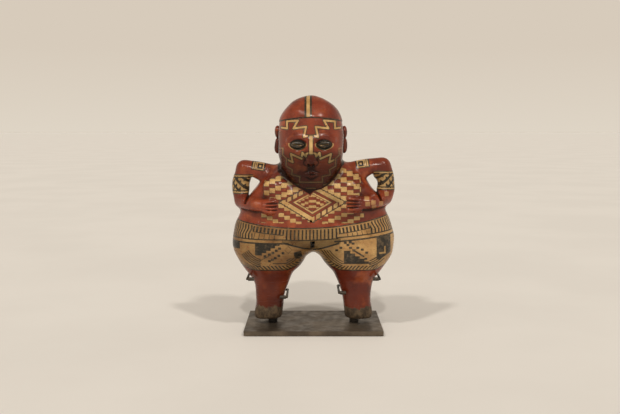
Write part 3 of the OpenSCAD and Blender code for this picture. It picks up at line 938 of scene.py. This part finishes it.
# Painted shade: hollows and grooves are darkened, except on the bare feet
crease_shade = np.maximum(np.clip((-hollow - 0.10) / 0.9, 0, 1), np.clip((-groove - 0.03) / 0.2, 0, 1))
ridge = np.clip(hollow - 0.25, 0, 1.0)
dirt_and_shade = np.clip(dirt_and_shade + 0.85 * crease_shade * (bare < 0.5), 0, 1)

attributes = dict(cream=cream, black=black, dirt_and_shade=dirt_and_shade, faded=faded, ochre=ochre, bare=bare, ridge=ridge)

pieces = {}
for index, node in enumerate(parts):
    piece = make_piece("clay_" + node, index, attributes)
    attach(piece, "figure")
    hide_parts(node)
    pieces[node] = piece

# -------------------- camera, light and floor

FRAME_WIDTH = 620             # picture elements
CAMERA_FOCUS = 777.3          # focal length, in widths of one picture element
CAMERA_PLACE = (-0.0048, -1.0889, 0.278)
CAMERA_DIP = 3.225            # degrees below level
CAMERA_SHIFT = -0.055
HORIZON = (0.731, 0.657, 0.555)
BACKDROP = (0.68, 0.597, 0.497)
OVERHEAD = (0.27, 0.245, 0.21)
LAMP_WHITE = (1.0, 0.94, 0.85)
FLOOR_SIDE = 120              # metres


def make_camera():
    data = bpy.data.cameras.new("camera")
    data.sensor_width = 36
    data.lens = data.sensor_width * CAMERA_FOCUS / FRAME_WIDTH
    data.shift_y = CAMERA_SHIFT
    camera = bpy.data.objects.new("camera", data)
    bpy.context.scene.collection.objects.link(camera)
    camera.location = CAMERA_PLACE
    camera.rotation_euler = (math.radians(90 - CAMERA_DIP), 0, 0)
    bpy.context.scene.camera = camera


def make_sun(name, direction, strength, angle):
    data = bpy.data.lights.new(name, "SUN")
    data.energy = strength
    data.angle = math.radians(angle)
    data.color = LAMP_WHITE
    light = bpy.data.objects.new(name, data)
    bpy.context.scene.collection.objects.link(light)
    light.rotation_euler = Vector(direction).to_track_quat("-Z", "Y").to_euler()


def make_surroundings():
    """A pale room: brighter round the horizon than overhead, so that the lamps can model the figure."""
    world = bpy.data.worlds.new("room")
    bpy.context.scene.world = world
    world.use_nodes = True
    nodes, links = world.node_tree.nodes, world.node_tree.links
    coords = nodes.new("ShaderNodeTexCoord")
    split = nodes.new("ShaderNodeSeparateXYZ")
    ramp = nodes.new("ShaderNodeValToRGB")
    links.new(coords.outputs["Generated"], split.inputs[0])
    links.new(split.outputs["Z"], ramp.inputs[0])
    links.new(ramp.outputs[0], nodes["Background"].inputs["Color"])
    stops = [(0.0, HORIZON), (0.10, BACKDROP), (0.32, BACKDROP), (0.62, OVERHEAD)]
    elements = ramp.color_ramp.elements
    while len(elements) < len(stops):
        elements.new(0.5)
    for element, (at, colour) in zip(elements, stops):
        element.position = at
        element.color = colour + (1.0,)


make_camera()
make_sun("lamp_front", (0.0, 0.70, -0.71), 0.75, 3.0)
make_sun("lamp_right", (0.40, 0.46, -0.79), 0.78, 4.5)
make_sun("lamp_left", (-0.40, 0.46, -0.79), 0.78, 4.5)
make_surroundings()
bpy.ops.mesh.primitive_plane_add(size=FLOOR_SIDE)
floor = bpy.context.object
floor.name = "floor"

# -------------------- materials

class Material:
    """A node material, built up from small calls."""

    def __init__(self, name):
        self.material = bpy.data.materials.new(name)
        self.material.use_nodes = True
        self.tree = self.material.node_tree
        self.shader = self.tree.nodes["Principled BSDF"]
        self.coords = self.tree.nodes.new("ShaderNodeTexCoord").outputs["Object"]

    def put(self, value, socket):
        if isinstance(value, bpy.types.NodeSocket):
            self.tree.links.new(value, socket)
        elif isinstance(value, tuple):
            socket.default_value = value + (1.0,) * (len(socket.default_value) - len(value))
        else:
            socket.default_value = value

    def math(self, operation, a, b=0.0, clamp=False):
        node = self.tree.nodes.new("ShaderNodeMath")
        node.operation = operation
        node.use_clamp = clamp
        self.put(a, node.inputs[0])
        self.put(b, node.inputs[1])
        return node.outputs[0]

    def ramp(self, value, low, high, to_low=0.0, to_high=1.0):
        node = self.tree.nodes.new("ShaderNodeMapRange")
        node.interpolation_type = "SMOOTHSTEP"
        for socket, v in zip(node.inputs[:5], (value, low, high, to_low, to_high)):
            self.put(v, socket)
        return node.outputs[0]

    def noise(self, scale, detail=3.0, roughness=0.5, stretch=None):
        node = self.tree.nodes.new("ShaderNodeTexNoise")
        coords = self.coords
        if stretch:
            mapping = self.tree.nodes.new("ShaderNodeMapping")
            mapping.inputs["Scale"].default_value = stretch
            self.put(coords, mapping.inputs["Vector"])
            coords = mapping.outputs[0]
        self.put(coords, node.inputs["Vector"])
        node.inputs["Scale"].default_value = scale
        node.inputs["Detail"].default_value = detail
        node.inputs["Roughness"].default_value = roughness
        return node.outputs["Fac"]

    def cracks(self, scale, width):
        node = self.tree.nodes.new("ShaderNodeTexVoronoi")
        node.feature = "DISTANCE_TO_EDGE"
        node.inputs["Scale"].default_value = scale
        self.put(self.coords, node.inputs["Vector"])
        return self.ramp(node.outputs["Distance"], 0.0, width, 1.0, 0.0)

    def attribute(self, name):
        node = self.tree.nodes.new("ShaderNodeAttribute")
        node.attribute_name = name
        return node.outputs["Fac"]

    def mix(self, factor, a, b, kind="MIX"):
        node = self.tree.nodes.new("ShaderNodeMix")
        node.data_type = "RGBA"
        node.blend_type = kind
        node.clamp_factor = True
        self.put(factor, node.inputs["Factor"])
        self.put(a, [i for i in node.inputs if i.name == "A" and i.type == "RGBA"][0])
        self.put(b, [i for i in node.inputs if i.name == "B" and i.type == "RGBA"][0])
        return [o for o in node.outputs if o.type == "RGBA"][0]

    def bump(self, height, strength, distance):
        node = self.tree.nodes.new("ShaderNodeBump")
        self.put(height, node.inputs["Height"])
        node.inputs["Strength"].default_value = strength
        node.inputs["Distance"].default_value = distance
        self.put(node.outputs[0], self.shader.inputs["Normal"])

    def finish(self, colour, roughness, metallic=0.0, specular=0.5):
        self.put(colour, self.shader.inputs["Base Color"])
        self.put(roughness, self.shader.inputs["Roughness"])
        self.put(metallic, self.shader.inputs["Metallic"])
        self.put(specular, self.shader.inputs["Specular IOR Level"])
        return self.material


RED, RED_DEEP, RED_ORANGE = (0.285, 0.050, 0.018), (0.155, 0.024, 0.011), (0.36, 0.082, 0.027)
CREAM, CREAM_DEEP = (0.70, 0.46, 0.19), (0.50, 0.29, 0.105)
OCHRE, OCHRE_DEEP = (0.50, 0.285, 0.105), (0.30, 0.145, 0.048)
BLACK, BLACK_WORN = (0.028, 0.022, 0.014), (0.115, 0.080, 0.046)
STAIN_AND_SHADE_TINT = (0.07, 0.09, 0.08)          # multiplies what is stained, and what is painted in shade
SCUFFED = (0.42, 0.24, 0.13)
BARE, BARE_DARK = (0.115, 0.078, 0.045), (0.040, 0.026, 0.015)


def slip_material():
    """Coloured slips laid over each other, burnished, then stained and worn, with shade painted in from the
    mesh.
    """
    m = Material("burnished_slip")
    broad, fine, grain = m.noise(22, 4), m.noise(160, 5, 0.62), m.noise(900, 3, 0.6)
    ragged = m.math("MULTIPLY", m.math("SUBTRACT", fine, 0.5), 1.3)
    red = m.mix(m.ramp(broad, 0.38, 0.66), RED_DEEP, RED)
    red = m.mix(m.ramp(m.noise(48, 3), 0.52, 0.72), red, RED_ORANGE)
    light = m.mix(m.ramp(m.noise(70, 4), 0.35, 0.7), CREAM_DEEP, CREAM)
    brown = m.mix(m.ramp(m.noise(45, 5, 0.6), 0.36, 0.66), OCHRE_DEEP, OCHRE)
    light = m.mix(m.attribute("ochre"), light, brown)
    dark = m.mix(m.ramp(fine, 0.44, 0.66), BLACK, BLACK_WORN)

    cream_edge = m.ramp(m.math("ADD", m.attribute("cream"), ragged), -0.3, 0.3)
    strength = m.math("SUBTRACT", 1.0, m.attribute("faded"))
    rubbed = m.ramp(m.noise(260, 4, 0.7), 0.30, 0.38)
    cream_edge = m.math("MULTIPLY", m.math("MULTIPLY", cream_edge, strength), rubbed)
    colour = m.mix(cream_edge, red, light)
    black_edge = m.math("MULTIPLY", m.ramp(m.math("ADD", m.attribute("black"), ragged), -0.3, 0.3),
                        m.ramp(m.noise(210, 4, 0.7), 0.28, 0.36, 0.35, 1.0))
    colour = m.mix(black_edge, colour, dark)

    stain = m.math("MULTIPLY", m.ramp(m.noise(30, 6, 0.65), 0.47, 0.70), 0.55)
    mottle = m.math("MULTIPLY", m.ramp(m.noise(190, 5, 0.72), 0.50, 0.66), 0.55)
    stain = m.math("MAXIMUM", stain, m.math("MULTIPLY", mottle, m.attribute("ochre")))
    cracks = m.math("MULTIPLY", m.cracks(420, 0.06), m.ramp(m.noise(18, 2), 0.40, 0.56))
    # Real stains and cracks, together with the painted shade carried on the mesh, darken the slip
    stain_and_shade = m.math("MAXIMUM", m.attribute("dirt_and_shade"), m.math("MAXIMUM", stain, m.math("MULTIPLY", cracks, 0.55)))
    colour = m.mix(stain_and_shade, colour, m.mix(1.0, colour, STAIN_AND_SHADE_TINT, "MULTIPLY"))
    scuffs = m.math("MULTIPLY", m.ramp(m.noise(340, 4, 0.75, (1, 1, 0.35)), 0.68, 0.74), m.attribute("ridge"))
    colour = m.mix(m.math("MULTIPLY", scuffs, 0.6), colour, SCUFFED)
    flaking = m.math("SUBTRACT", m.noise(85, 6, 0.7), 0.5)
    bare_edge = m.ramp(m.math("ADD", m.attribute("bare"), m.math("MULTIPLY", flaking, 1.6)), 0.42, 0.55)
    colour = m.mix(bare_edge, colour, m.mix(m.ramp(m.noise(120, 5, 0.7), 0.35, 0.65), BARE_DARK, BARE))

    strokes = m.noise(70, 3, 0.5, (1.0, 1.0, 5.0))
    roughness = m.math("ADD", m.ramp(strokes, 0.3, 0.7, 0.12, 0.23), m.math("MULTIPLY", cream_edge, 0.05))
    roughness = m.math("ADD", roughness, m.math("MULTIPLY", stain_and_shade, 0.10))
    roughness = m.math("ADD", roughness, m.math("MULTIPLY", bare_edge, 0.45), clamp=True)
    height = m.math("ADD", m.math("MULTIPLY", grain, 0.25), m.math("MULTIPLY", strokes, 0.6))
    height = m.math("ADD", height, m.math("MULTIPLY", m.math("ADD", cream_edge, black_edge), 0.25))
    height = m.math("SUBTRACT", height, m.math("MULTIPLY", cracks, 0.4))
    m.bump(height, 0.30, 0.0006)
    # Stained slip, and slip painted in shade, is made duller than the clean burnished slip
    gloss = m.math("SUBTRACT", 0.42, m.math("MULTIPLY", stain_and_shade, 0.26))
    return m.finish(colour, roughness, specular=gloss)


def steel_material(name, dark, light, rough=0.42, metallic=0.75):
    """Worked metal with a clouded patina and fine specks."""
    m = Material(name)
    patina = m.ramp(m.noise(28, 6, 0.62), 0.36, 0.66)
    colour = m.mix(patina, dark, light)
    speck = m.ramp(m.noise(700, 2), 0.66, 0.74)
    colour = m.mix(m.math("MULTIPLY", speck, 0.5), colour, tuple(1.7 * c for c in light))
    m.bump(m.math("ADD", m.noise(420, 4, 0.6), m.noise(40, 2, 0.5, (0.2, 6.0, 1.0))), 0.18, 0.0005)
    return m.finish(colour, m.ramp(m.noise(90, 5), 0.3, 0.7, rough - 0.08, rough + 0.12), metallic)


def soft_material(name, dark, light, rough):
    """Rubber or plastic with a fine grain."""
    m = Material(name)
    colour = m.mix(m.ramp(m.noise(260, 4), 0.35, 0.65), dark, light)
    m.bump(m.noise(1500, 3), 0.2, 0.0003)
    return m.finish(colour, m.ramp(m.noise(300, 3), 0.3, 0.7, rough - 0.06, rough + 0.08))


slip = slip_material()
patina = steel_material("patinated_steel", (0.075, 0.058, 0.042), (0.155, 0.121, 0.086), 0.42, 0.6)
screw = steel_material("screw_steel", (0.30, 0.28, 0.25), (0.45, 0.43, 0.40), 0.35, 1.0)
brass = steel_material("aged_brass", (0.024, 0.017, 0.010), (0.060, 0.042, 0.021), 0.5, 0.35)
post_steel = steel_material("dark_post", (0.012, 0.010, 0.008), (0.030, 0.024, 0.018), 0.5, 0.4)
rubber = soft_material("black_rubber", (0.018, 0.018, 0.018), (0.034, 0.033, 0.031), 0.75)
sleeve = soft_material("toned_sleeve", (0.022, 0.015, 0.009), (0.050, 0.034, 0.020), 0.6)


def dress(piece, material):
    """Gives a piece one material in place of those it has."""
    if not piece.material_slots:
        piece.data.materials.append(material)
    for slot in piece.material_slots:
        slot.material = material


for piece in pieces.values():
    dress(piece, slip)
FINISHES = (("liner", rubber), ("pad", rubber), ("foot_post", post_steel), ("screw", screw), ("wire", brass),
            ("sleeve", sleeve))
for node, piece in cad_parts.items():
    if node not in parts:
        dress(piece, next((finish for word, finish in FINISHES if word in node), patina))

ground = Material("pale_floor")
clouding = ground.ramp(ground.noise(3, 4), 0.35, 0.65)
dress(floor, ground.finish(ground.mix(clouding, (0.80, 0.775, 0.745), (0.83, 0.805, 0.775)), 0.62, 0.0, 0.25))
bpy.context.scene.view_settings.view_transform = "Standard"
